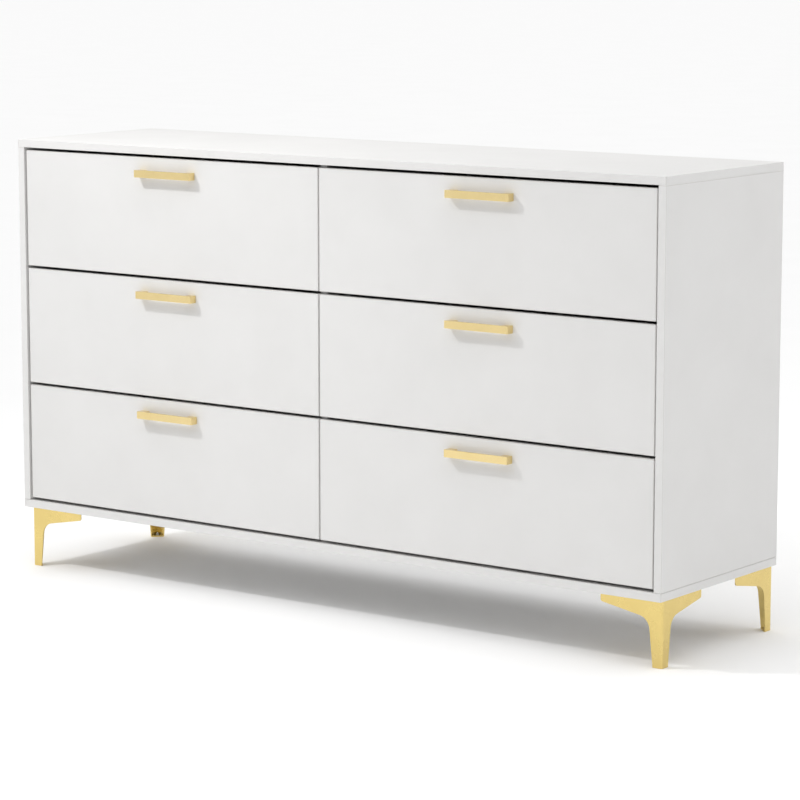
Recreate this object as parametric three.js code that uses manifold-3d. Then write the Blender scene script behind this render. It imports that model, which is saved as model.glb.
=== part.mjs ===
// A six-drawer dresser in white melamine board, with gold bar pulls and four bent-plate corner legs.
// Millimetres, +Z up. The drawers face -Y and slide out along it. The origin is on the floor, under
// the middle of the whole dresser, pulls included.

import * as THREE from "three";
import { mergeVertices } from "three/addons/utils/BufferGeometryUtils.js";
import Module from "manifold-3d";

const wasm = await Module();
wasm.setup();

// ---- Driving dimensions ----

const CASE_WIDTH = 1600;
const CASE_DEPTH = 425;
const CASE_HEIGHT = 786;
const LEG_HEIGHT = 130;
const BOARD = 16; // melamine board of the case and the drawer fronts

const COLUMNS = ["left", "right"];
const ROWS = ["top", "middle", "bottom"];
const FRONT_RECESS = 3; // drawer faces behind the case's front edges
const ROW_GAP = 6.25; // above and below each drawer front
const SIDE_GAP = 4.5; // drawer front to side panel
const CENTRE_GAP = 3.5; // between the two columns of drawer fronts
const JOINT_LINE = 0.4; // between the bottom panel and the side panels, which stand on dowels

const BACK_BOARD = 3;
const GROOVE_WIDTH = 3.5;
const GROOVE_DEPTH = 6;
const GROOVE_FIT = 0.25; // play of a thin board on each side in its groove
const TONGUE = GROOVE_DEPTH - 0.5; // how far a thin board reaches into its groove
const BACK_RECESS = 8; // rear edge of the case to the groove
const DIVIDER_SETBACK = 1.5; // divider behind the back of the drawer fronts

const BOX_WIDTH = 750;
const BOX_LENGTH = 350;
const BOX_HEIGHT = 170;
const BOX_BOARD = 12;
const BOX_LIFT = 22; // lower edge of a drawer front to the lower edge of its box
const BOX_GROOVE_LIFT = 10; // lower edge of the box to the groove of its bottom

const RAIL_HEIGHT = 45;
const RAIL_LENGTH = 350;
const RAIL_DEPTH = 11.5; // out from the wall that it is screwed to
const RAIL_STEEL = 1.2;
const RAIL_LIP = 5.5;

const PULL_LENGTH = 147;
const PULL_REACH = 18; // out from the drawer front
const PULL_HEIGHT = 15;
const PULL_BAR = 5; // thickness of the bar that the fingers hook
const PULL_DROP = 33; // upper edge of the drawer front to the middle of the pull
const PULL_SCREW_SPACING = 128; // each post is centred on its screw

const LEG_STEEL = 2.5;
const LEG_BEND_RADIUS = 3; // outside the bend
const LEG_SIDE_INSET = 7;
const LEG_FRONT_INSET = 18.5;
const LEG_REAR_INSET = 4.5;
const LEG_WING = 137; // reach of each wing along the case
const LEG_WING_END = 18; // height of the wing at its tip
const LEG_WING_ROOT = 37.5; // height of the wing where its lower edge would meet the shank
const LEG_TIP_RADIUS = 5;
const LEG_THROAT_RADIUS = 27;
const LEG_FOOT = 21; // width of the shank on the floor
const LEG_SHANK = 30.7; // width of the shank where it would meet the wing's lower edge
const FOOT_PLATE = 3;
const FOOT_END = 4; // width of the foot plate's cut corners
const FLANGE_REACH = 130; // the flange is screwed up into the bottom panel
const FLANGE_END = 20;
const FLANGE_HOLE = 5;
const FLANGE_HOLES = [[108, 13], [38, 38], [13, 108]];

// ---- Places worked out from them ----

const RIGHT = CASE_WIDTH / 2;
const INNER_RIGHT = RIGHT - BOARD;
const PULL_PROUD = PULL_REACH - FRONT_RECESS; // pulls in front of the case
const FRONT = -(CASE_DEPTH + PULL_PROUD) / 2 + PULL_PROUD;
const REAR = FRONT + CASE_DEPTH;
const TOP = LEG_HEIGHT + CASE_HEIGHT;
const INNER_BOTTOM = LEG_HEIGHT + BOARD;
const INNER_TOP = TOP - BOARD;
const GROOVE_REAR = REAR - BACK_RECESS;
const GROOVE_FRONT = GROOVE_REAR - GROOVE_WIDTH;

const BAY_WIDTH = (2 * INNER_RIGHT - BOARD) / 2;
const BAY_CENTRE = (INNER_RIGHT + BOARD / 2) / 2;
const FRONT_WIDTH = (2 * INNER_RIGHT - 2 * SIDE_GAP - CENTRE_GAP) / 2;
const FRONT_CENTRE = (FRONT_WIDTH + CENTRE_GAP) / 2;
const FRONT_HEIGHT = (INNER_TOP - INNER_BOTTOM - 4 * ROW_GAP) / 3;
const FACE = FRONT + FRONT_RECESS;
const BOX_FRONT = FACE + BOARD;
const BOX_REAR = BOX_FRONT + BOX_LENGTH;
const BOX_INNER = BOX_WIDTH / 2 - BOX_BOARD;
const DIVIDER_FRONT = BOX_FRONT + DIVIDER_SETBACK;

// ---- Materials ----

const finish = (name, color, roughness, metalness) =>
  new THREE.MeshStandardMaterial({ name, color, roughness, metalness });

const melamine = finish("melamine", 0xf1f0ef, 0.45, 0);
const drawerFoil = finish("drawer_foil", 0xe9e7e3, 0.5, 0);
const hardboard = finish("hardboard", 0xe4e0d8, 0.7, 0);
const gold = finish("gold", 0xe6cf85, 0.3, 1);
const zinc = finish("zinc", 0xb9bcc0, 0.35, 1);

// ---- Solids ----

// A three.js geometry as a manifold-3d solid.
function solidOf(geometry) {
  const bare = geometry.clone();
  bare.deleteAttribute("normal");
  bare.deleteAttribute("uv");
  const merged = mergeVertices(bare, 1e-4);
  return new wasm.Manifold(
    new wasm.Mesh({
      numProp: 3,
      vertProperties: new Float32Array(merged.attributes.position.array),
      triVerts: new Uint32Array(merged.index.array),
    }),
  );
}

// A manifold-3d solid as a three.js geometry.
function geometryOf(solid) {
  const mesh = solid.getMesh();
  const geometry = new THREE.BufferGeometry();
  geometry.setAttribute("position", new THREE.BufferAttribute(mesh.vertProperties, 3));
  geometry.setIndex(new THREE.BufferAttribute(mesh.triVerts, 1));
  geometry.computeVertexNormals();
  return geometry;
}

// A box between two limits on each axis.
function block([x0, x1], [y0, y1], [z0, z1]) {
  const geometry = new THREE.BoxGeometry(x1 - x0, y1 - y0, z1 - z0);
  return geometry.translate((x0 + x1) / 2, (y0 + y1) / 2, (z0 + z1) / 2);
}

// The first geometry with the others cut out of it.
function cut(geometry, ...tools) {
  const start = solidOf(geometry);
  return geometryOf(tools.reduce((rest, tool) => rest.subtract(solidOf(tool)), start));
}

// All the geometries joined into one.
function join(...geometries) {
  return geometryOf(geometries.map(solidOf).reduce((whole, piece) => whole.add(piece)));
}

// A THREE.Shape through points, with corners rounded where a point has a third number, its radius.
function roundedShape(points) {
  const shape = new THREE.Shape();
  points.forEach(([x, y, radius = 0], i) => {
    const corner = new THREE.Vector2(x, y);
    const before = new THREE.Vector2(...points.at(i - 1).slice(0, 2)).sub(corner).normalize();
    const after = new THREE.Vector2(...points[(i + 1) % points.length].slice(0, 2)).sub(corner).normalize();
    const halfAngle = Math.acos(before.dot(after)) / 2;
    const tangent = radius / Math.tan(halfAngle);
    const start = corner.clone().addScaledVector(before, tangent);
    const end = corner.clone().addScaledVector(after, tangent);
    if (i === 0) shape.moveTo(start.x, start.y);
    else shape.lineTo(start.x, start.y);
    if (radius === 0) return;
    const inward = before.clone().add(after).normalize();
    const centre = corner.clone().addScaledVector(inward, radius / Math.sin(halfAngle));
    const from = start.clone().sub(centre).angle();
    const to = end.clone().sub(centre).angle();
    shape.absarc(centre.x, centre.y, radius, from, to, before.cross(after) > 0);
  });
  return shape;
}

// A shape pulled up from z = 0.
function extrude(shape, depth) {
  return new THREE.ExtrudeGeometry(shape, { depth, bevelEnabled: false, curveSegments: 6 });
}

// Turns that stand an extruded outline up, so that its first axis runs along +X or +Y and its second
// one up. The depth then runs to -Y in the first case, and to +X in the second.
const X_AXIS = new THREE.Vector3(1, 0, 0);
const Y_AXIS = new THREE.Vector3(0, 1, 0);
const Z_AXIS = new THREE.Vector3(0, 0, 1);
const STAND_ALONG_X = new THREE.Matrix4().makeBasis(X_AXIS, Z_AXIS, Y_AXIS.clone().negate());
const STAND_ALONG_Y = new THREE.Matrix4().makeBasis(Y_AXIS, Z_AXIS, X_AXIS);

// ---- Scene graph ----

const dresser = new THREE.Group();

function add(parent, name, geometry, material) {
  const mesh = new THREE.Mesh(geometry, material);
  mesh.name = name;
  parent.add(mesh);
  return mesh;
}

// ---- Case ----

// The top and the bottom panel run over the ends of the side panels. Their groove for the back
// stops short of both ends, so that it can't be seen from the side.
function endPanel(z0, grooveZ) {
  const grooveEnd = INNER_RIGHT + GROOVE_DEPTH;
  return cut(
    block([-RIGHT, RIGHT], [FRONT, REAR], [z0, z0 + BOARD]),
    block([-grooveEnd, grooveEnd], [GROOVE_FRONT, GROOVE_REAR], grooveZ),
  );
}

function sidePanel() {
  return cut(
    block([INNER_RIGHT, RIGHT], [FRONT, REAR], [INNER_BOTTOM + JOINT_LINE, INNER_TOP]),
    block(
      [INNER_RIGHT - 1, INNER_RIGHT + GROOVE_DEPTH],
      [GROOVE_FRONT, GROOVE_REAR],
      [INNER_BOTTOM - 1, INNER_TOP + 1],
    ),
  );
}

// One half of the thin back, from the middle of the divider into the side panel's groove.
function backPanel() {
  return block(
    [0.5, INNER_RIGHT + TONGUE],
    [GROOVE_FRONT + GROOVE_FIT, GROOVE_REAR - GROOVE_FIT],
    [INNER_BOTTOM - TONGUE, INNER_TOP + TONGUE],
  );
}

function buildCase() {
  add(dresser, "top_panel", endPanel(INNER_TOP, [INNER_TOP - 1, INNER_TOP + GROOVE_DEPTH]), melamine);
  add(
    dresser,
    "bottom_panel",
    endPanel(LEG_HEIGHT, [INNER_BOTTOM - GROOVE_DEPTH, INNER_BOTTOM + 1]),
    melamine,
  );
  const divider = block(
    [-BOARD / 2, BOARD / 2],
    [DIVIDER_FRONT, GROOVE_FRONT],
    [INNER_BOTTOM, INNER_TOP],
  );
  add(dresser, "centre_divider", divider, melamine);
  COLUMNS.forEach((column) => {
    const half = new THREE.Group();
    if (column === "left") half.scale.x = -1;
    add(half, `${column}_side_panel`, sidePanel(), melamine);
    add(half, `${column}_back_panel`, backPanel(), hardboard);
    dresser.add(half);
  });
}

// ---- Legs ----

// The sheet seen from above: two plates at a right angle with a bend between them.
function bentSheet() {
  const plan = roundedShape([
    [0, 0, LEG_BEND_RADIUS],
    [LEG_WING, 0],
    [LEG_WING, LEG_STEEL],
    [LEG_STEEL, LEG_STEEL, LEG_BEND_RADIUS - LEG_STEEL],
    [LEG_STEEL, LEG_WING],
    [0, LEG_WING],
  ]);
  return extrude(plan, LEG_HEIGHT);
}

// The flange under the bottom panel, with its screw holes.
function legFlange() {
  const plan = roundedShape([
    [0, 0, LEG_BEND_RADIUS],
    [FLANGE_REACH, 0],
    [FLANGE_REACH, FLANGE_END, LEG_TIP_RADIUS],
    [FLANGE_END, FLANGE_REACH, LEG_TIP_RADIUS],
    [0, FLANGE_REACH],
  ]);
  plan.holes = FLANGE_HOLES.map(([x, y]) => new THREE.Path().absarc(x, y, FLANGE_HOLE / 2, 0, 2 * Math.PI));
  return extrude(plan, LEG_STEEL).translate(0, 0, LEG_HEIGHT - LEG_STEEL);
}

// The three-cornered plate that closes the shank on the floor.
function footPlate() {
  const plan = roundedShape([
    [0, 0, LEG_BEND_RADIUS],
    [LEG_FOOT, 0],
    [LEG_FOOT, FOOT_END],
    [FOOT_END, LEG_FOOT],
    [0, LEG_FOOT],
  ]);
  return extrude(plan, FOOT_PLATE);
}

// The outline that both plates are cut to, as a prism that runs both ways from z = 0.
function wingOutline() {
  const outline = roundedShape([
    [-1, 0],
    [LEG_FOOT, 0],
    [LEG_SHANK, LEG_HEIGHT - LEG_WING_ROOT, LEG_THROAT_RADIUS],
    [LEG_WING, LEG_HEIGHT - LEG_WING_END, LEG_TIP_RADIUS],
    [LEG_WING, LEG_HEIGHT],
    [-1, LEG_HEIGHT],
  ]);
  const reach = LEG_WING + 1;
  return extrude(outline, 2 * reach).translate(0, 0, -reach);
}

// A leg with its bent corner at the origin and its wings along +X and +Y.
function leg() {
  const sheet = solidOf(join(bentSheet(), legFlange(), footPlate()));
  const alongX = solidOf(wingOutline().applyMatrix4(STAND_ALONG_X));
  const alongY = solidOf(wingOutline().applyMatrix4(STAND_ALONG_Y));
  return geometryOf(sheet.intersect(alongX).intersect(alongY));
}

function buildLegs() {
  const corners = [
    ["front", -1, FRONT + LEG_FRONT_INSET],
    ["rear", 1, REAR - LEG_REAR_INSET],
  ];
  for (const [end, outward, y] of corners) {
    for (const column of COLUMNS) {
      const side = column === "left" ? -1 : 1;
      const mesh = add(dresser, `${end}_${column}_leg`, leg(), gold);
      mesh.position.set(side * (RIGHT - LEG_SIDE_INSET), y, 0);
      mesh.scale.set(-side, -outward, 1);
    }
  }
}

// ---- Slides ----

// The case's half of a ball-bearing slide: a lipped channel that opens towards +X, on a wall at x = 0.
function caseRail() {
  const half = RAIL_HEIGHT / 2;
  const inner = half - RAIL_STEEL;
  const lip = half - RAIL_LIP;
  const lipX = RAIL_DEPTH - RAIL_STEEL;
  const outline = roundedShape([
    [0, -half],
    [RAIL_DEPTH, -half],
    [RAIL_DEPTH, -lip],
    [lipX, -lip],
    [lipX, -inner],
    [RAIL_STEEL, -inner],
    [RAIL_STEEL, inner],
    [lipX, inner],
    [lipX, lip],
    [RAIL_DEPTH, lip],
    [RAIL_DEPTH, half],
    [0, half],
  ]);
  return extrude(outline, RAIL_LENGTH).applyMatrix4(STAND_ALONG_X).translate(0, RAIL_LENGTH, 0);
}

// Both case rails of one drawer, in the frame of its group.
function addCaseRails(group, label) {
  for (const side of [-1, 1]) {
    const name = `${label}_case_rail_${side < 0 ? "left" : "right"}`;
    const mesh = add(group, name, caseRail(), zinc);
    mesh.position.set((side * BAY_WIDTH) / 2, DIVIDER_FRONT, BOX_LIFT + BOX_HEIGHT / 2);
    mesh.scale.x = -side;
  }
}

// ---- Drawers ----

// The boards below are in a drawer's own frame: x from the middle of its bay, z from the lower edge
// of its front.

const GROOVE_Z = [BOX_LIFT + BOX_GROOVE_LIFT, BOX_LIFT + BOX_GROOVE_LIFT + GROOVE_WIDTH];
const BOX_Z = [BOX_LIFT, BOX_LIFT + BOX_HEIGHT];

function drawerFront(centre) {
  return cut(
    block(
      [centre - FRONT_WIDTH / 2, centre + FRONT_WIDTH / 2],
      [FACE, BOX_FRONT],
      [0, FRONT_HEIGHT],
    ),
    block(
      [-BOX_INNER - GROOVE_DEPTH, BOX_INNER + GROOVE_DEPTH],
      [BOX_FRONT - GROOVE_DEPTH, BOX_FRONT + 1],
      GROOVE_Z,
    ),
  );
}

function drawerSide() {
  return cut(
    block([BOX_INNER, BOX_INNER + BOX_BOARD], [BOX_FRONT, BOX_REAR], BOX_Z),
    block([BOX_INNER - 1, BOX_INNER + GROOVE_DEPTH], [BOX_FRONT - 1, BOX_REAR + 1], GROOVE_Z),
  );
}

// The back stands on the bottom, which slides in under it.
function drawerBack() {
  return block([-BOX_INNER, BOX_INNER], [BOX_REAR - BOX_BOARD, BOX_REAR], [GROOVE_Z[1], BOX_Z[1]]);
}

function drawerBottom() {
  const reach = BOX_INNER + TONGUE;
  return block(
    [-reach, reach],
    [BOX_FRONT - TONGUE, BOX_REAR],
    [GROOVE_Z[0] + GROOVE_FIT, GROOVE_Z[0] + GROOVE_FIT + BACK_BOARD],
  );
}

// A bar pull: a flat bar between two posts, all one height, with the posts flush with its ends.
function pull() {
  const end = PULL_LENGTH / 2;
  const postInside = PULL_SCREW_SPACING - end;
  const plan = roundedShape([
    [-end, 0],
    [-end, -PULL_REACH],
    [end, -PULL_REACH],
    [end, 0],
    [postInside, 0],
    [postInside, PULL_BAR - PULL_REACH],
    [-postInside, PULL_BAR - PULL_REACH],
    [-postInside, 0],
  ]);
  return extrude(plan, PULL_HEIGHT).translate(0, 0, -PULL_HEIGHT / 2);
}

function buildDrawer(column, row) {
  const side = column === "left" ? -1 : 1;
  const rowsBelow = ROWS.length - 1 - ROWS.indexOf(row);
  const label = `${row}_${column}`;
  const group = new THREE.Group();
  group.position.set(side * BAY_CENTRE, 0, INNER_BOTTOM + ROW_GAP + rowsBelow * (FRONT_HEIGHT + ROW_GAP));
  const centre = side * (FRONT_CENTRE - BAY_CENTRE);

  add(group, `${label}_drawer_front`, drawerFront(centre), melamine);
  add(group, `${label}_box_right_side`, drawerSide(), drawerFoil);
  add(group, `${label}_box_left_side`, drawerSide(), drawerFoil).scale.x = -1;
  add(group, `${label}_box_back`, drawerBack(), drawerFoil);
  add(group, `${label}_box_bottom`, drawerBottom(), hardboard);
  add(group, `${label}_pull`, pull(), gold).position.set(centre, FACE, FRONT_HEIGHT - PULL_DROP);
  addCaseRails(group, label);
  dresser.add(group);
}

buildCase();
buildLegs();
for (const row of ROWS) {
  for (const column of COLUMNS) buildDrawer(column, row);
}

export default dresser;
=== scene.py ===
"""Looks of the six-drawer dresser: finishes, bevels, slide members, fasteners, floor, light, camera."""

import math

import bmesh
import bpy
from mathutils import Matrix, Vector


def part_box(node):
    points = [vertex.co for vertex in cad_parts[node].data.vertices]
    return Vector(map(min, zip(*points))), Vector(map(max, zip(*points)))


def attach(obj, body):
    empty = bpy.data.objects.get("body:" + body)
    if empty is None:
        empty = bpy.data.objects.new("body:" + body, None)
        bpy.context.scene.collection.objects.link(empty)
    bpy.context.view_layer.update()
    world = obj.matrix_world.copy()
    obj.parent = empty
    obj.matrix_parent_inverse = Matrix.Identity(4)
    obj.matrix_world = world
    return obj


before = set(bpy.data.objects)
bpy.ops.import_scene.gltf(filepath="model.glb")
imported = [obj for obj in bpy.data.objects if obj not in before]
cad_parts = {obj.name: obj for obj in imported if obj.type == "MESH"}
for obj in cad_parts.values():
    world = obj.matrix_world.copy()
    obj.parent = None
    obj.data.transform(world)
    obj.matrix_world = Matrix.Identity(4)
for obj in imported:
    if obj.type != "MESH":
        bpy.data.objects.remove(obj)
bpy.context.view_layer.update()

MM = 0.001
COLUMNS = ("left", "right")
ROWS = ("top", "middle", "bottom")
ENDS = ("front", "rear")
X, Y, Z = Vector((1, 0, 0)), Vector((0, 1, 0)), Vector((0, 0, 1))


# ---- Camera ----

CAMERA_PLACE = (3.7785, -5.0228, 1.3837)
CAMERA_TILT_DOWN = 8.816
CAMERA_TURN = 36.592
SENSOR_WIDTH = 36
FOCAL_LENGTH = 140.89

camera = bpy.data.objects.new("camera", bpy.data.cameras.new("camera"))
bpy.context.scene.collection.objects.link(camera)
camera.location = CAMERA_PLACE
camera.rotation_euler = (math.radians(90 - CAMERA_TILT_DOWN), 0, math.radians(CAMERA_TURN))
camera.data.sensor_width = SENSOR_WIDTH
camera.data.lens = FOCAL_LENGTH
camera.data.clip_start = 0.1
camera.data.clip_end = 500
bpy.context.scene.camera = camera


# ---- Materials ----


class Finish:
    """A Principled material with short calls for the nodes that feed it."""

    def __init__(self, name, roughness, metallic=0.0, **constants):
        self.material = bpy.data.materials.new(name)
        self.material.use_nodes = True
        self.tree = self.material.node_tree
        self.bsdf = self.tree.nodes["Principled BSDF"]
        self.bsdf.inputs["Metallic"].default_value = metallic
        self.bsdf.inputs["Roughness"].default_value = roughness
        for socket, value in constants.items():
            self.bsdf.inputs[socket.replace("_", " ")].default_value = value
        self.place = self.tree.nodes.new("ShaderNodeTexCoord")

    def link(self, source, target):
        self.tree.links.new(source, target)

    def noise(self, per_metre, detail=2.0, roughness=0.5, stretch=(1, 1, 1)):
        """Noise in the row frame, with this many features to the metre along each axis."""
        mapping = self.tree.nodes.new("ShaderNodeMapping")
        mapping.inputs["Scale"].default_value = stretch
        texture = self.tree.nodes.new("ShaderNodeTexNoise")
        texture.inputs["Scale"].default_value = per_metre
        texture.inputs["Detail"].default_value = detail
        texture.inputs["Roughness"].default_value = roughness
        self.link(self.place.outputs["Object"], mapping.inputs["Vector"])
        self.link(mapping.outputs["Vector"], texture.inputs["Vector"])
        return texture.outputs["Fac"]

    def cells(self, per_metre):
        """A random value for each cell of a Voronoi pattern in the row frame."""
        texture = self.tree.nodes.new("ShaderNodeTexVoronoi")
        texture.inputs["Scale"].default_value = per_metre
        self.link(self.place.outputs["Object"], texture.inputs["Vector"])
        split = self.tree.nodes.new("ShaderNodeSeparateColor")
        self.link(texture.outputs["Color"], split.inputs["Color"])
        return split.outputs["Red"]

    def spread(self, value, low, high, start=0.3, stop=0.7):
        """value from start to stop, as low to high."""
        node = self.tree.nodes.new("ShaderNodeMapRange")
        limits = {"From Min": start, "From Max": stop, "To Min": low, "To Max": high}
        for socket, number in limits.items():
            node.inputs[socket].default_value = number
        self.link(value, node.inputs["Value"])
        return node.outputs["Result"]

    def shade(self, value, low, high, start=0.3, stop=0.7):
        """A colour that runs from low to high as value goes from start to stop."""
        node = self.tree.nodes.new("ShaderNodeValToRGB")
        for element, position, colour in zip(node.color_ramp.elements, (start, stop), (low, high)):
            element.position = position
            element.color = (*colour, 1)
        self.link(value, node.inputs["Fac"])
        return node.outputs["Color"]

    def darken(self, colour, factor, tint):
        """colour, multiplied by tint where factor is 1."""
        node = self.tree.nodes.new("ShaderNodeMix")
        node.data_type = "RGBA"
        node.blend_type = "MULTIPLY"
        self.link(factor, node.inputs["Factor"])
        self.link(colour, node.inputs["A"])
        node.inputs["B"].default_value = (*tint, 1)
        return node.outputs["Result"]

    def math(self, operation, first, second=None):
        node = self.tree.nodes.new("ShaderNodeMath")
        node.operation = operation
        for socket, value in zip(node.inputs, (first, second)):
            if isinstance(value, (int, float)):
                socket.default_value = value
            elif value is not None:
                self.link(value, socket)
        return node.outputs["Value"]

    def bumps(self, *heights):
        """Chains bump nodes into the shader: each height is (value, strength, distance in mm)."""
        normal = None
        for value, strength, distance in heights:
            node = self.tree.nodes.new("ShaderNodeBump")
            node.inputs["Strength"].default_value = strength
            node.inputs["Distance"].default_value = distance * MM
            self.link(value, node.inputs["Height"])
            if normal:
                self.link(normal, node.inputs["Normal"])
            normal = node.outputs["Normal"]
        self.link(normal, self.bsdf.inputs["Normal"])

    def feed(self, socket, value):
        self.link(value, self.bsdf.inputs[socket])


WHITE_LOW, WHITE_HIGH = (0.801, 0.795, 0.784), (0.827, 0.821, 0.811)
EDGE_BAND = 1.0 * MM
GLUE_LINE_CORE = 0.15 * MM
GLUE_LINE_REACH = 0.4 * MM
GLUE_LINE_TINT = (0.74, 0.72, 0.69)


def board(name, size):
    """White melamine board, size metres along X, Y and Z, with the glue line of its edge bands."""
    finish = Finish(name, 0.45, IOR=1.46, Specular_IOR_Level=0.35)
    mottle = finish.noise(per_metre=7, detail=3, roughness=0.55)
    colour = finish.shade(mottle, WHITE_LOW, WHITE_HIGH)
    parts = finish.tree.nodes.new("ShaderNodeSeparateXYZ")
    finish.link(finish.place.outputs["Generated"], parts.inputs["Vector"])
    lines = None
    for axis, extent in zip("XYZ", size):
        if extent == min(size):
            continue
        off_centre = finish.math("ABSOLUTE", finish.math("SUBTRACT", parts.outputs[axis], 0.5))
        from_edge = finish.math("MULTIPLY", finish.math("SUBTRACT", 0.5, off_centre), extent)
        off_line = finish.math("ABSOLUTE", finish.math("SUBTRACT", from_edge, EDGE_BAND))
        line = finish.spread(off_line, 1, 0, start=GLUE_LINE_CORE, stop=GLUE_LINE_REACH)
        lines = line if lines is None else finish.math("MAXIMUM", lines, line)
    finish.feed("Base Color", finish.darken(colour, lines, GLUE_LINE_TINT))
    finish.feed("Roughness", finish.spread(finish.noise(per_metre=160, detail=3), 0.40, 0.50))
    pearl = finish.noise(per_metre=420, roughness=0.6)
    grain = finish.noise(per_metre=1900, detail=1)
    off_lines = finish.math("SUBTRACT", 1, lines)
    finish.bumps((pearl, 0.10, 0.10), (grain, 0.08, 0.03), (off_lines, 0.3, 0.05))
    return finish.material


def size_of(node):
    low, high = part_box(node)
    return tuple(high - low)


def foil(name):
    """Paper foil with a faint printed grain along the board."""
    finish = Finish(name, 0.5, IOR=1.45)
    grain = finish.noise(per_metre=55, detail=4, roughness=0.6, stretch=(0.25, 0.25, 3))
    finish.feed("Base Color", finish.shade(grain, (0.735, 0.722, 0.700), (0.775, 0.765, 0.745)))
    finish.feed("Roughness", finish.spread(finish.noise(per_metre=240), 0.44, 0.56))
    pores = finish.noise(per_metre=1500, detail=1)
    finish.bumps((grain, 0.12, 0.1), (pores, 0.1, 0.03))
    return finish.material


def hardboard(name):
    """Thin fibre board with a white coat through which the fibres show."""
    finish = Finish(name, 0.7, IOR=1.45)
    fibres = finish.noise(per_metre=220, detail=5, roughness=0.7, stretch=(1, 1, 2.2))
    colour = finish.shade(fibres, (0.665, 0.640, 0.595), (0.735, 0.715, 0.675))
    flecks = finish.spread(finish.noise(per_metre=1100), 0, 1, start=0.62, stop=0.72)
    finish.feed("Base Color", finish.darken(colour, flecks, (0.90, 0.87, 0.82)))
    finish.feed("Roughness", finish.spread(fibres, 0.62, 0.8))
    grit = finish.noise(per_metre=1800, detail=1)
    finish.bumps((fibres, 0.25, 0.15), (grit, 0.15, 0.04))
    return finish.material


def gold(name, low, high, roughness, brushed):
    """Satin gold plating, with fine lines along X if it is brushed."""
    finish = Finish(name, sum(roughness) / 2, 1.0)
    finish.feed("Base Color", finish.shade(finish.noise(per_metre=18), low, high))
    if brushed:
        lines = finish.noise(per_metre=1500, detail=3, roughness=0.65, stretch=(0.02, 1, 1))
    else:
        lines = finish.noise(per_metre=700, detail=3, roughness=0.6)
    cloud = finish.spread(finish.noise(per_metre=25), *roughness)
    finish.feed("Roughness", finish.math("ADD", cloud, finish.spread(lines, -0.015, 0.015)))
    finish.bumps((lines, 0.03, 0.01))
    return finish.material


def zinc(name, low, high):
    """Zinc plating with a faint spangle."""
    finish = Finish(name, 0.35, 1.0)
    spangle = finish.cells(per_metre=140)
    finish.feed("Base Color", finish.shade(spangle, low, high, start=0, stop=1))
    patchy = finish.math("ADD", spangle, finish.noise(per_metre=90, detail=3))
    finish.feed("Roughness", finish.spread(patchy, 0.27, 0.45, start=0.3, stop=1.6))
    rolled = finish.noise(per_metre=900, detail=3, roughness=0.6, stretch=(1, 0.05, 1))
    finish.bumps((rolled, 0.12, 0.02))
    return finish.material


def plastic(name, low, high):
    """Moulded plastic with a spark-eroded grain."""
    finish = Finish(name, 0.42, IOR=1.47)
    finish.feed("Base Color", finish.shade(finish.noise(per_metre=300), low, high))
    grain = finish.noise(per_metre=2600)
    finish.feed("Roughness", finish.spread(grain, 0.36, 0.5))
    finish.bumps((grain, 0.15, 0.02))
    return finish.material


FOIL = foil("drawer_foil")
HARDBOARD = hardboard("white_hardboard")
LEG_GOLD = gold("leg_gold", (0.778, 0.603, 0.229), (0.809, 0.628, 0.243), (0.25, 0.31), brushed=False)
PULL_GOLD = gold("pull_gold", (0.855, 0.674, 0.324), (0.887, 0.709, 0.355), (0.19, 0.25), brushed=True)
ZINC = zinc("zinc_steel", (0.50, 0.51, 0.53), (0.64, 0.65, 0.67))
DARK_ZINC = zinc("dark_zinc", (0.30, 0.30, 0.31), (0.40, 0.40, 0.41))
WHITE_PLASTIC = plastic("white_plastic", (0.77, 0.765, 0.755), (0.81, 0.805, 0.795))


# ---- CAD nodes: finishes and bevels ----

WELD_DISTANCE = 0.01 * MM
SAME_PLANE_ANGLE = 0.5
SHARP_EDGE_ANGLE = 35


def dress(node, material, bevel, even_normals=False):
    """Gives a CAD node its material, and rounds its sharp edges by bevel millimetres."""
    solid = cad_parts[node]
    for slot in solid.material_slots:
        slot.material = material
    weld = solid.modifiers.new("weld", "WELD")
    weld.merge_threshold = WELD_DISTANCE
    flat = solid.modifiers.new("flat_faces", "DECIMATE")
    flat.decimate_type = "DISSOLVE"
    flat.angle_limit = math.radians(SAME_PLANE_ANGLE)
    edge = solid.modifiers.new("edges", "BEVEL")
    edge.width = bevel * MM
    edge.segments = 3
    edge.limit_method = "ANGLE"
    edge.angle_limit = math.radians(SHARP_EDGE_ANGLE)
    if even_normals:
        normals = solid.modifiers.new("normals", "WEIGHTED_NORMAL")
        normals.weight = 100


BOARD_EDGE = 0.5
FRONT_EDGE = 0.6
PULL_EDGE = 0.35
LEG_EDGE = 0.35
BOX_EDGE = 0.3
THIN_BOARD_EDGE = 0.15
RAIL_EDGE = 0.2

end_board = board("melamine_end_panel", size_of("top_panel"))
side_board = board("melamine_side_panel", size_of("left_side_panel"))
divider_board = board("melamine_divider", size_of("centre_divider"))
front_board = board("melamine_front", size_of("top_left_drawer_front"))

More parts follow.
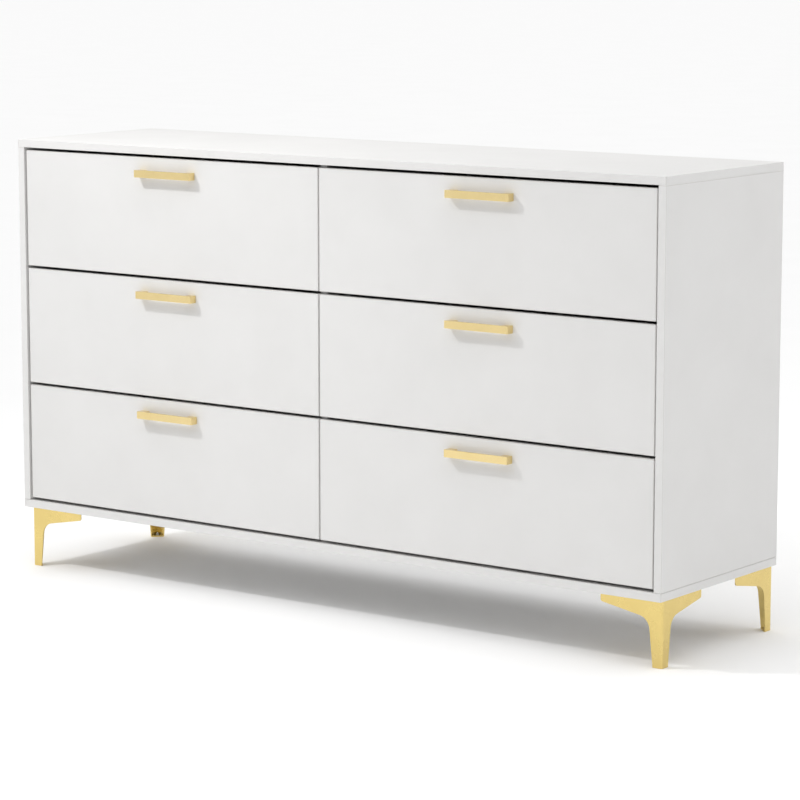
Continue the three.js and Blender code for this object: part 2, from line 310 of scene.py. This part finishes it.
dress("top_panel", end_board, BOARD_EDGE)
dress("bottom_panel", end_board, BOARD_EDGE)
dress("centre_divider", divider_board, BOARD_EDGE)
for column in COLUMNS:
    dress(f"{column}_side_panel", side_board, BOARD_EDGE)
    dress(f"{column}_back_panel", HARDBOARD, THIN_BOARD_EDGE)
    for end in ENDS:
        dress(f"{end}_{column}_leg", LEG_GOLD, LEG_EDGE, even_normals=True)
    for row in ROWS:
        label = f"{row}_{column}"
        dress(f"{label}_drawer_front", front_board, FRONT_EDGE)
        dress(f"{label}_pull", PULL_GOLD, PULL_EDGE)
        dress(f"{label}_box_bottom", HARDBOARD, THIN_BOARD_EDGE)
        dress(f"{label}_box_back", FOIL, BOX_EDGE)
        for side in COLUMNS:
            dress(f"{label}_box_{side}_side", FOIL, BOX_EDGE)
            dress(f"{label}_case_rail_{side}", ZINC, RAIL_EDGE)


# ---- Mesh tools ----


def piece(name, bm, material, body):
    """Turns a bmesh, built in the row frame, into a piece that rides on a body."""
    bmesh.ops.recalc_face_normals(bm, faces=bm.faces)
    mesh = bpy.data.meshes.new(name)
    bm.to_mesh(mesh)
    bm.free()
    mesh.materials.append(material)
    made = bpy.data.objects.new(name, mesh)
    bpy.context.scene.collection.objects.link(made)
    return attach(made, body)


def turned(bm, profile, place, segments=24):
    """A solid of revolution about place's Z axis, through (radius, height) points from axis to axis."""
    rings = []
    for radius, height in profile:
        if radius == 0:
            rings.append([bm.verts.new(place @ Vector((0, 0, height)))])
            continue
        ring = []
        for i in range(segments):
            angle = 2 * math.pi * i / segments
            spot = Vector((radius * math.cos(angle), radius * math.sin(angle), height))
            ring.append(bm.verts.new(place @ spot))
        rings.append(ring)
    for lower, upper in zip(rings, rings[1:]):
        for i in range(segments):
            j = (i + 1) % segments
            corners = [lower[i % len(lower)], lower[j % len(lower)]]
            corners += [upper[j % len(upper)], upper[i % len(upper)]]
            face = [v for k, v in enumerate(corners) if v not in corners[:k]]
            if len(face) > 2:
                bm.faces.new(face)


def extruded(bm, outline, start, stop, place=Matrix.Identity(4)):
    """A prism over an outline of (x, z) points, from y = start to y = stop in place's frame."""
    ends = [[bm.verts.new(place @ Vector((x, y, z))) for x, z in outline] for y in (start, stop)]
    for end in ends:
        bm.faces.new(end)
    for i in range(len(outline)):
        j = (i + 1) % len(outline)
        bm.faces.new((ends[0][i], ends[0][j], ends[1][j], ends[1][i]))


def stamped(bm, mesh, place):
    """Adds a copy of mesh at place."""
    before = set(bm.verts)
    bm.from_mesh(mesh)
    bmesh.ops.transform(bm, matrix=place, verts=[v for v in bm.verts if v not in before])


def aimed(position, direction):
    """A frame at position, with its Z axis along direction."""
    return Matrix.Translation(position) @ direction.to_track_quat("Z", "Y").to_matrix().to_4x4()


CROSS_ARM_WIDTH = 0.24
CROSS_ROOT_REACH = 0.35
CROSS_ROOT_WIDTH = 0.5
DOME_SIDE = 0.35
DOME_FLAT = 0.62


def cross_headed(name, profile, top, arm, depth):
    """A turned head with a tapered cross recess in its top."""
    head = bmesh.new()
    turned(head, profile, Matrix.Identity(4))
    bmesh.ops.recalc_face_normals(head, faces=head.faces)
    body_mesh = bpy.data.meshes.new(name)
    head.to_mesh(body_mesh)
    head.free()
    cutter = bmesh.new()
    width = arm * CROSS_ARM_WIDTH
    for along in (0, 1):
        turn = Matrix.Rotation(along * math.pi / 2, 4, "Z")
        mouth = (arm, width, top + MM)
        root = (arm * CROSS_ROOT_REACH, width * CROSS_ROOT_WIDTH, top - depth)
        loops = []
        for reach, half, height in (mouth, root):
            loop = [(-reach, -half), (reach, -half), (reach, half), (-reach, half)]
            loops.append([cutter.verts.new(turn @ Vector((x, y, height))) for x, y in loop])
        cutter.faces.new(loops[0])
        cutter.faces.new(loops[1])
        for i in range(4):
            j = (i + 1) % 4
            cutter.faces.new((loops[0][i], loops[0][j], loops[1][j], loops[1][i]))
    bmesh.ops.recalc_face_normals(cutter, faces=cutter.faces)
    cutter_mesh = bpy.data.meshes.new(name + "_cutter")
    cutter.to_mesh(cutter_mesh)
    cutter.free()
    solid = bpy.data.objects.new(name, body_mesh)
    tool = bpy.data.objects.new(name + "_tool", cutter_mesh)
    for made in (solid, tool):
        bpy.context.scene.collection.objects.link(made)
    cut = solid.modifiers.new("recess", "BOOLEAN")
    cut.operation = "DIFFERENCE"
    cut.solver = "EXACT"
    cut.use_self = True
    cut.object = tool
    bpy.context.view_layer.update()
    depsgraph = bpy.context.evaluated_depsgraph_get()
    finished = bpy.data.meshes.new_from_object(solid.evaluated_get(depsgraph))
    bpy.data.objects.remove(solid)
    bpy.data.objects.remove(tool)
    return finished


def dome(radius, height, steps=5):
    """The profile of a pan head on z = 0: straight sides, then a rounded shoulder up to a flat top."""
    points = [(0, 0), (radius, 0), (radius, height * DOME_SIDE)]
    for i in range(1, steps + 1):
        angle = math.pi / 2 * i / steps
        across = DOME_FLAT + (1 - DOME_FLAT) * math.cos(angle)
        up = DOME_SIDE + (1 - DOME_SIDE) * math.sin(angle)
        points.append((radius * across, height * up))
    return points + [(0, height)]


def screw_head(name, radius, height, arm, depth):
    """A pan head with a cross recess, in millimetres."""
    return cross_headed(name, dome(radius * MM, height * MM), height * MM, arm * MM, depth * MM)


PAN_HEAD = screw_head("pan_head", radius=4.0, height=2.4, arm=2.3, depth=1.7)
FLAT_HEAD = screw_head("flat_head", radius=3.9, height=0.7, arm=2.1, depth=0.5)
RAIL_HEAD = screw_head("rail_head", radius=3.4, height=1.6, arm=2.0, depth=1.2)
CAM_TOP = 0.6 * MM
CAM_PROFILE = [(0, 0), (7.5 * MM, 0), (7.5 * MM, 0.3 * MM), (7.1 * MM, CAM_TOP), (0, CAM_TOP)]
CAM = cross_headed("cam", CAM_PROFILE, top=CAM_TOP, arm=4.2 * MM, depth=0.45 * MM)


# ---- Drawers: slide members, cages and fasteners ----

# Single sizes are in metres. Profiles, sections and rows of screws are in millimetres.
RAIL_LENGTH = 350 * MM
MEMBER_START = 1 * MM
MEMBER_STOP = RAIL_LENGTH - 4 * MM
MEMBER_SCREWS = (35, 163, 291)
RAIL_SCREWS = (20, 148, 308)
CAGE_START, CAGE_STOP = 12 * MM, 140 * MM
CAGE_BALLS = 10
BALL_RADIUS = 2.5 * MM
FIRST_BALL, BALL_PITCH = 18 * MM, 12.8 * MM
BALL_FROM_WALL, BALL_FROM_MIDDLE = 6.2 * MM, 18.1 * MM
MEMBER_FACE = 11.6 * MM
RAIL_FACE = 1.25 * MM
MEMBER_STEEL = 1.2 * MM
CAGE_SECTION = ((3.2, 17.0), (9.0, 17.0), (9.0, 17.8), (3.2, 17.8))


def thick(line, width):
    """The closed outline of a polyline of (x, z) points, given a thickness."""
    left, right = [], []
    for i, (x, z) in enumerate(line):
        before = Vector(line[max(i - 1, 0)])
        after = Vector(line[min(i + 1, len(line) - 1)])
        along = (after - before).normalized()
        normal = Vector((-along.y, along.x)) * width / 2
        left.append((x + normal.x, z + normal.y))
        right.append((x - normal.x, z - normal.y))
    return left + right[::-1]


def member_outline():
    """Section of the drawer's slide member: x from the case rail's wall, z from its middle."""
    upper = [(12.35, 0), (12.35, 9.5), (12.1, 11.6), (11.2, 13.2), (9.6, 14.1)]
    upper += [(8.2, 14.2), (6.6, 13.9), (5.2, 14.4), (3.4, 14.8)]
    line = [(x, -z) for x, z in reversed(upper[1:])] + upper
    return thick([(x * MM, z * MM) for x, z in line], MEMBER_STEEL)


def cage_outline(sign):
    """Section of a ball cage's strip, above (1) or below (-1) the slide member."""
    return [(x * MM, sign * z * MM) for x, z in CAGE_SECTION]


def rail_frame(node, side):
    """A frame at a case rail's front end and half height, on its wall, with X out from the wall."""
    low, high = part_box(node)
    wall = low.x if side == "left" else high.x
    flip = 1 if side == "left" else -1
    return Matrix.Translation((wall, low.y, (low.z + high.z) / 2)) @ Matrix.Diagonal((flip, 1, 1, 1))


def build_slide(label, side):
    place = rail_frame(f"{label}_case_rail_{side}", side)
    outward = (place.to_3x3() @ X).normalized()

    bm = bmesh.new()
    extruded(bm, member_outline(), MEMBER_START, MEMBER_STOP, place)
    piece(f"{label}_slide_member_{side}", bm, ZINC, f"{label}_drawer")

    bm = bmesh.new()
    for y in MEMBER_SCREWS:
        stamped(bm, RAIL_HEAD, aimed(place @ Vector((MEMBER_FACE, y * MM, 0)), -outward))
    piece(f"{label}_member_screws_{side}", bm, DARK_ZINC, f"{label}_drawer")

    bm = bmesh.new()
    for sign in (-1, 1):
        extruded(bm, cage_outline(sign), CAGE_START, CAGE_STOP, place)
        for i in range(CAGE_BALLS):
            along = FIRST_BALL + BALL_PITCH * i
            centre = (BALL_FROM_WALL, along, sign * BALL_FROM_MIDDLE)
            ball = place @ Matrix.Translation(centre)
            bmesh.ops.create_icosphere(bm, subdivisions=2, radius=BALL_RADIUS, matrix=ball)
    piece(f"{label}_ball_cage_{side}", bm, ZINC, "case")

    bm = bmesh.new()
    for y in RAIL_SCREWS:
        stamped(bm, RAIL_HEAD, aimed(place @ Vector((RAIL_FACE, y * MM, 0)), outward))
    piece(f"{label}_rail_screws_{side}", bm, DARK_ZINC, "case")


PULL_SCREW_SPACING = 128 * MM
WASHER_PROFILE = [(0, 0), (5.5, 0), (5.5, 0.7), (5.2, 1.0), (0, 1.0)]
WASHER_TOP = 0.95 * MM
CAM_HEIGHTS = (45 * MM, 140 * MM)
CAM_DEPTH = 34 * MM
BOX_SCREW_HEIGHTS = (28 * MM, 142 * MM)
BOX_SCREW_DEPTH = 6 * MM


def build_drawer_fasteners(label):
    body = f"{label}_drawer"
    inner_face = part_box(f"{label}_drawer_front")[1].y
    pull_low, pull_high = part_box(f"{label}_pull")
    left_low, left_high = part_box(f"{label}_box_left_side")
    right_low, right_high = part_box(f"{label}_box_right_side")
    pull_middle = (pull_low + pull_high) / 2

    bm = bmesh.new()
    for x in (pull_middle.x - PULL_SCREW_SPACING / 2, pull_middle.x + PULL_SCREW_SPACING / 2):
        place = aimed(Vector((x, inner_face, pull_middle.z)), Y)
        turned(bm, [(r * MM, h * MM) for r, h in WASHER_PROFILE], place)
        stamped(bm, PAN_HEAD, place @ Matrix.Translation((0, 0, WASHER_TOP)))
    piece(f"{label}_pull_screws", bm, ZINC, body)

    bm = bmesh.new()
    for height in CAM_HEIGHTS:
        for x, direction in ((left_high.x, X), (right_low.x, -X)):
            spot = Vector((x, left_low.y + CAM_DEPTH, left_low.z + height))
            stamped(bm, CAM, aimed(spot, direction))
    piece(f"{label}_cam_locks", bm, DARK_ZINC, body)

    bm = bmesh.new()
    for height in BOX_SCREW_HEIGHTS:
        for x, direction in ((left_low.x, -X), (right_high.x, X)):
            spot = Vector((x, left_high.y - BOX_SCREW_DEPTH, left_low.z + height))
            stamped(bm, FLAT_HEAD, aimed(spot, direction))
    piece(f"{label}_box_screws", bm, DARK_ZINC, body)


for row in ROWS:
    for column in COLUMNS:
        label = f"{row}_{column}"
        for side in COLUMNS:
            build_slide(label, side)
        build_drawer_fasteners(label)


# ---- Case: caps, leg fasteners and the back's joint ----

# Depths from the case's front, the leg screws' places and all profiles are in millimetres.
CAP_PROFILE = [(0, 0), (8.5, 0), (8.5, 0.45), (8.2, 0.8), (7.6, 1.0), (0, 1.0)]
CAP_HEIGHT = 34 * MM
CAP_DEPTH = 60 * MM
UNDERSIDE_CAP_SCALE = 0.8
SIDE_CAP_DEPTHS = (175, 240)
MIDDLE_CAP_DEPTHS = (60, 210, 360)
BOARD = 16 * MM
LEG_SCREWS = ((108, 13), (38, 38), (13, 108))
LEG_PLATE = 2.5 * MM
FOOT_PLATE = 3 * MM
FOOT_BOLT_INSET = 7.5 * MM
NUT_RADIUS, NUT_HEIGHT = 4 * MM, 3.2 * MM
STUD_PROFILE = [(0, 3.1), (2, 3.1), (2, 5.2), (1.6, 5.7), (0, 5.7)]
STRIP_SECTION = [(-13, 0), (-12.6, 0.7), (-11.6, 1.1), (11.6, 1.1), (12.6, 0.7), (13, 0)]
STRIP_END_GAP = 2 * MM

case_low, case_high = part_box("top_panel")
inner_low, inner_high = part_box("centre_divider")
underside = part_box("bottom_panel")[0].z

bm = bmesh.new()
left_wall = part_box("left_side_panel")[1].x
right_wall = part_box("right_side_panel")[0].x
for x, direction in ((left_wall, X), (right_wall, -X)):
    for z in (inner_low.z + CAP_HEIGHT, inner_high.z - CAP_HEIGHT):
        for y in (case_low.y + CAP_DEPTH, case_high.y - CAP_DEPTH):
            cap = [(r * MM, h * MM) for r, h in CAP_PROFILE]
            turned(bm, cap, aimed(Vector((x, y, z)), direction))
piece("cam_cover_caps", bm, WHITE_PLASTIC, "case")

bm = bmesh.new()
cap_rows = (
    (case_low.x + BOARD / 2, SIDE_CAP_DEPTHS),
    (0, MIDDLE_CAP_DEPTHS),
    (case_high.x - BOARD / 2, SIDE_CAP_DEPTHS),
)
for x, depths in cap_rows:
    for depth in depths:
        spot = Vector((x, case_low.y + depth * MM, underside))
        cap = [(r * UNDERSIDE_CAP_SCALE * MM, h * MM) for r, h in CAP_PROFILE]
        turned(bm, cap, aimed(spot, -Z))
piece("underside_caps", bm, WHITE_PLASTIC, "case")

leg_screws, foot_nuts = bmesh.new(), bmesh.new()
turns = [math.pi * i / 3 for i in range(6)]
hexagon = [(NUT_RADIUS * math.cos(turn), NUT_RADIUS * math.sin(turn)) for turn in turns]
for end in ENDS:
    for column in COLUMNS:
        low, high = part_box(f"{end}_{column}_leg")
        corner_x = low.x if column == "left" else high.x
        corner_y = low.y if end == "front" else high.y
        corner = Vector((corner_x, corner_y, 0))
        inward = Vector((1 if column == "left" else -1, 1 if end == "front" else -1, 0))
        for across, along in LEG_SCREWS:
            offset = Vector((inward.x * across * MM, inward.y * along * MM, high.z - LEG_PLATE))
            spot = corner + offset
            stamped(leg_screws, PAN_HEAD, aimed(spot, -Z))
        foot = corner + inward * FOOT_BOLT_INSET + Z * FOOT_PLATE
        upright = Matrix.Translation(foot) @ Matrix.Rotation(math.pi / 2, 4, "X")
        extruded(foot_nuts, hexagon, 0, NUT_HEIGHT, upright)
        turned(foot_nuts, [(r * MM, h * MM) for r, h in STUD_PROFILE], Matrix.Translation(foot))
piece("leg_screws", leg_screws, ZINC, "case")
piece("foot_nuts", foot_nuts, ZINC, "case")

back_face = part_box("left_back_panel")[1].y
bm = bmesh.new()
lying = Matrix.Translation((0, back_face, 0)) @ Matrix.Rotation(math.pi / 2, 4, "X")
section = [(x * MM, -y * MM) for x, y in STRIP_SECTION]
extruded(bm, section, inner_low.z + STRIP_END_GAP, inner_high.z - STRIP_END_GAP, lying)
piece("back_joint_strip", bm, WHITE_PLASTIC, "case")


# ---- Floor and light ----

FLOOR_HALF_WIDTH = 150
FLOOR_CLEARANCE = 0.2 * MM
FLOOR_LOW, FLOOR_HIGH = (0.948, 0.948, 0.948), (0.960, 0.960, 0.960)
LIT_POINT = (0, -0.1, 0.55)
KEY_PLACE, KEY_WATTS, KEY_SIZE = (-1.3, -1.55, 2.62), 8.4, 0.16
KEY_SPREAD = math.radians(100)
OVERHEAD_STRENGTH = 2.6
OVERHEAD_ANGLE = math.radians(100)
FILL_PLACE, FILL_WATTS, FILL_SIZE = (4.0, 0.1, 1.5), 7.3, 2.0
WORLD_BY_HEIGHT = {"From Min": 0.12, "From Max": 0.4, "To Min": 0.23, "To Max": 0.20}


def build_floor():
    bm = bmesh.new()
    bmesh.ops.create_grid(bm, x_segments=1, y_segments=1, size=FLOOR_HALF_WIDTH)
    mesh = bpy.data.meshes.new("floor")
    bm.to_mesh(mesh)
    bm.free()
    finish = Finish("studio_floor", 0.9, Specular_IOR_Level=0.1)
    finish.feed("Base Color", finish.shade(finish.noise(per_metre=3), FLOOR_LOW, FLOOR_HIGH))
    mesh.materials.append(finish.material)
    floor = bpy.data.objects.new("floor", mesh)
    floor.location.z = -FLOOR_CLEARANCE
    bpy.context.scene.collection.objects.link(floor)
    # Seen from below, the floor lets the view through to the underside.
    tree = finish.tree
    geometry = tree.nodes.new("ShaderNodeNewGeometry")
    clear = tree.nodes.new("ShaderNodeBsdfTransparent")
    either = tree.nodes.new("ShaderNodeMixShader")
    output = tree.nodes["Material Output"]
    finish.link(geometry.outputs["Backfacing"], either.inputs["Fac"])
    finish.link(finish.bsdf.outputs["BSDF"], either.inputs[1])
    finish.link(clear.outputs["BSDF"], either.inputs[2])
    finish.link(either.outputs["Shader"], output.inputs["Surface"])


def lamp(name, kind, energy, place, towards, **settings):
    data = bpy.data.lights.new(name, kind)
    data.energy = energy
    for key, value in settings.items():
        setattr(data, key, value)
    made = bpy.data.objects.new(name, data)
    bpy.context.scene.collection.objects.link(made)
    made.location = place
    made.rotation_euler = (Vector(place) - Vector(towards)).to_track_quat("Z", "Y").to_euler()
    made.visible_camera = False


def build_light():
    key_shape = {"shape": "DISK", "size": KEY_SIZE, "spread": KEY_SPREAD}
    lamp("key", "AREA", KEY_WATTS, KEY_PLACE, LIT_POINT, **key_shape)
    lamp("overhead", "SUN", OVERHEAD_STRENGTH, (0, 0, 5), (0, 0, 0), angle=OVERHEAD_ANGLE)
    lamp("right_fill", "AREA", FILL_WATTS, FILL_PLACE, LIT_POINT, shape="DISK", size=FILL_SIZE)
    world = bpy.data.worlds.new("studio")
    bpy.context.scene.world = world
    world.use_nodes = True
    tree = world.node_tree
    background = tree.nodes["Background"]
    place = tree.nodes.new("ShaderNodeTexCoord")
    parts = tree.nodes.new("ShaderNodeSeparateXYZ")
    sky = tree.nodes.new("ShaderNodeMapRange")
    for socket, value in WORLD_BY_HEIGHT.items():
        sky.inputs[socket].default_value = value
    tree.links.new(place.outputs["Generated"], parts.inputs["Vector"])
    tree.links.new(parts.outputs["Z"], sky.inputs["Value"])
    tree.links.new(sky.outputs["Result"], background.inputs["Color"])
    background.inputs["Strength"].default_value = 1.0


build_floor()
build_light()
bpy.context.scene.view_settings.view_transform = "Standard"
